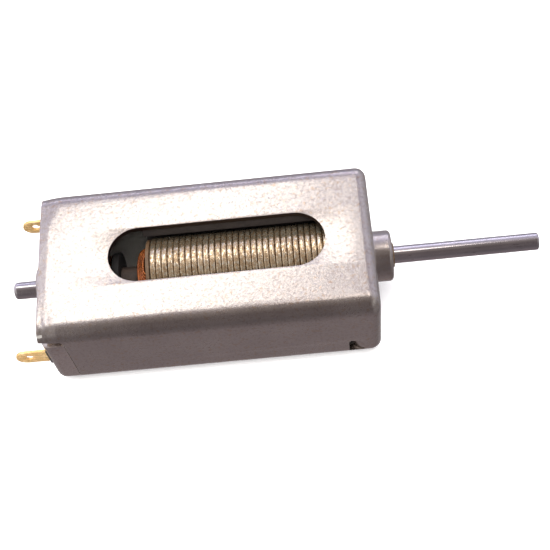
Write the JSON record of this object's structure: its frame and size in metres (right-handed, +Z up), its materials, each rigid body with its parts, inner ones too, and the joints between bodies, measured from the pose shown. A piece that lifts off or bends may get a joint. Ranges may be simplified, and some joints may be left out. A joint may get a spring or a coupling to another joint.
{
  "type": "electric motor",
  "caption": "Small flat-can brushed DC motor with an open stadium window over its laminated armature, a long 2 mm output shaft, a short rear stub and two brass solder terminals.",
  "frame": {"origin": "the middle of the footprint, on the ground: x and y at the middle of the motor's extents, z at the can's lower flat face", "axes": "+X along the shaft towards its long output end, +Y across the can's width, +Z up through the larger visible window"},
  "size_m": [0.0606, 0.019, 0.0115],
  "materials": {
    "plated_steel": "nickel-plated drawn steel, satin with fine scratches",
    "black_nylon": "moulded, matt",
    "sintered_bronze": "porous oil-filled bronze, dull",
    "terminal_brass": "stamped, bright",
    "spring_bronze": "rolled leaf, satin",
    "carbon": "pressed copper-graphite, matt",
    "ferrite": "sintered, matt charcoal",
    "spring_wire": "drawn wire",
    "ground_steel": "ground and polished",
    "lamination_steel": "punched sheet with a golden oxide",
    "insulating_fibre": "varnished fibre",
    "enamelled_copper": "copper wire with clear orange enamel",
    "commutator_moulding": "brown phenolic, matt",
    "segment_copper": "bare copper, polished by the brushes",
    "washer_nylon": "natural nylon",
    "varistor_ceramic": "dark grey ceramic"
  },
  "bodies": {
    "stator": {"can": "plated_steel", "rear_cover": "plated_steel", "brush_holder": "black_nylon", "front_bush": "sintered_bronze", "rear_bush": "sintered_bronze", "terminal_left": "terminal_brass", "terminal_right": "terminal_brass", "brush_arm_left": "spring_bronze", "brush_arm_right": "spring_bronze", "brush_left": "carbon", "brush_right": "carbon", "magnet_left": "ferrite", "magnet_right": "ferrite", "magnet_spring": "spring_wire"},
    "rotor": {"shaft": "ground_steel", "lamination_01": "lamination_steel", "lamination_02": "lamination_steel", "lamination_03": "lamination_steel", "lamination_04": "lamination_steel", "lamination_05": "lamination_steel", "lamination_06": "lamination_steel", "lamination_07": "lamination_steel", "lamination_08": "lamination_steel", "lamination_09": "lamination_steel", "lamination_10": "lamination_steel", "lamination_11": "lamination_steel", "lamination_12": "lamination_steel", "lamination_13": "lamination_steel", "lamination_14": "lamination_steel", "lamination_15": "lamination_steel", "lamination_16": "lamination_steel", "lamination_17": "lamination_steel", "lamination_18": "lamination_steel", "lamination_19": "lamination_steel", "lamination_20": "lamination_steel", "lamination_21": "lamination_steel", "lamination_22": "lamination_steel", "lamination_23": "lamination_steel", "lamination_24": "lamination_steel", "lamination_25": "lamination_steel", "lamination_26": "lamination_steel", "lamination_27": "lamination_steel", "lamination_28": "lamination_steel", "lamination_29": "lamination_steel", "lamination_30": "lamination_steel", "insulator_front": "insulating_fibre", "insulator_rear": "insulating_fibre", "winding_1": "enamelled_copper", "winding_2": "enamelled_copper", "winding_3": "enamelled_copper", "commutator_hub": "commutator_moulding", "commutator_segment_1": "segment_copper", "commutator_segment_2": "segment_copper", "commutator_segment_3": "segment_copper", "commutator_ring": "insulating_fibre", "varistor": "varistor_ceramic", "front_spacer": "washer_nylon", "thrust_washer": "washer_nylon", "rear_collar": "washer_nylon"}
  },
  "joints": [
    {"name": "rotor_spin", "type": "hinge", "parent": "stator", "child": "rotor", "pos_m": [0, 0, 0.00575], "axis": [1, 0, 0], "continuous": true}
  ]
}
